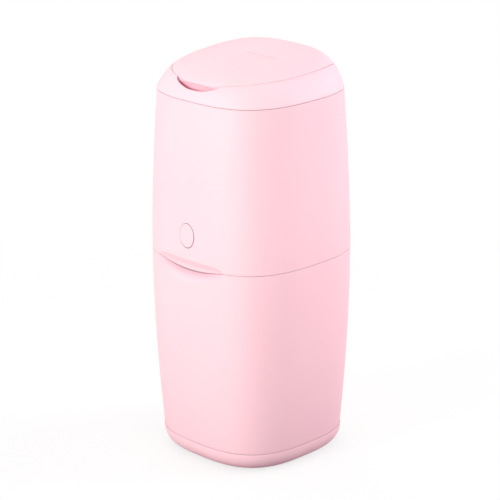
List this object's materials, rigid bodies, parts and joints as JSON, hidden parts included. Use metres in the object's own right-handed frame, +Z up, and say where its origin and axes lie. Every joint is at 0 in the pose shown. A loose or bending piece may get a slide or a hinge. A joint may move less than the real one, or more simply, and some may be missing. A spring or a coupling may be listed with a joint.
{
  "type": "nappy bin",
  "caption": "Tall nappy bin with a barrel-sided body, domed hinged lid, tilting upper housing with push-button latch, film cassette and sprung clamp.",
  "frame": {"origin": "middle of the footprint, on the floor that the bin stands on", "axes": "+Z up, -Y to the front with the button and the thumb notch, +X to the right seen from the front"},
  "size_m": [0.2406, 0.2494, 0.5531],
  "materials": {
    "pink_shell": "satin baby-pink moulded plastic",
    "inner_white": "plain white moulded plastic",
    "grey_rubber": "matt grey rubber",
    "steel": "zinc plated steel",
    "cassette_plastic": "pale blue-grey moulded plastic",
    "film": "packed thin film"
  },
  "bodies": {
    "base": {"base_plinth": "pink_shell", "foot_pad_front_left": "grey_rubber", "foot_pad_front_right": "grey_rubber", "foot_pad_rear_left": "grey_rubber", "foot_pad_rear_right": "grey_rubber", "base_screw_front_left": "steel", "base_screw_front_right": "steel", "base_screw_rear_left": "steel", "base_screw_rear_right": "steel", "lower_bin": "pink_shell", "latch_keeper": "inner_white", "film_cutter_housing": "inner_white", "film_cutter_blade": "steel", "body_hinge_pin": "steel"},
    "upper": {"upper_housing": "pink_shell", "top_collar": "pink_shell", "collar_screw_front_left": "steel", "collar_screw_front_right": "steel", "collar_screw_rear_left": "steel", "collar_screw_rear_right": "steel", "lid_hinge_pin": "steel", "latch_bracket": "inner_white", "bracket_screw_left": "steel", "bracket_screw_right": "steel", "latch_pivot_pin": "steel", "latch_spring": "steel", "cassette_tray": "inner_white", "tray_screw_front_left": "steel", "tray_screw_front_right": "steel", "tray_screw_rear_left": "steel", "tray_screw_rear_right": "steel", "clamp_frame": "inner_white", "clamp_screw_front_left": "steel", "clamp_screw_front_right": "steel", "clamp_screw_rear_left": "steel", "clamp_screw_rear_right": "steel", "jaw_rod_front": "steel", "jaw_rod_rear": "steel", "jaw_spring_left": "steel", "jaw_spring_right": "steel"},
    "lid": {"lid_shell": "pink_shell", "lid_seal": "grey_rubber"},
    "button": {"release_button": "pink_shell"},
    "latch": {"latch_lever": "inner_white"},
    "cassette": {"cassette_case": "cassette_plastic", "cassette_cover": "cassette_plastic", "film_pleats": "film"},
    "jaw_left": {"clamp_jaw_left": "inner_white", "jaw_pad_left": "grey_rubber"},
    "jaw_right": {"clamp_jaw_right": "inner_white", "jaw_pad_right": "grey_rubber"}
  },
  "joints": [
    {"name": "body_hinge", "type": "hinge", "parent": "base", "child": "upper", "pos_m": [0, 0.125, 0.2835], "axis": [-1, 0, 0], "range_deg": [0, 75]},
    {"name": "lid_hinge", "type": "hinge", "parent": "upper", "child": "lid", "pos_m": [0, 0.1095, 0.5235], "axis": [-1, 0, 0], "range_deg": [0, 100]},
    {"name": "button_press", "type": "slide", "parent": "upper", "child": "button", "axis": [0, 1, 0], "range_m": [0, 0.004], "stiffness_N_per_m": 400, "springref_m": -0.002, "deforming": ["latch_spring"]},
    {"name": "latch_turn", "type": "hinge", "parent": "upper", "child": "latch", "pos_m": [0, -0.099, 0.37], "axis": [1, 0, 0], "range_deg": [0, 5]},
    {"name": "cassette_lift", "type": "slide", "parent": "upper", "child": "cassette", "axis": [0, 0, 1], "range_m": [0, 0.03]},
    {"name": "jaw_left_slide", "type": "slide", "parent": "upper", "child": "jaw_left", "axis": [-1, 0, 0], "range_m": [0, 0.025], "stiffness_N_per_m": 120, "springref_m": -0.01, "deforming": ["jaw_spring_left"]},
    {"name": "jaw_right_slide", "type": "slide", "parent": "upper", "child": "jaw_right", "axis": [1, 0, 0], "range_m": [0, 0.025], "stiffness_N_per_m": 120, "springref_m": -0.01, "deforming": ["jaw_spring_right"]}
  ],
  "couplings": [
    {"joint": "latch_turn", "follows": "button_press", "rad_per_m": 21.739}
  ]
}
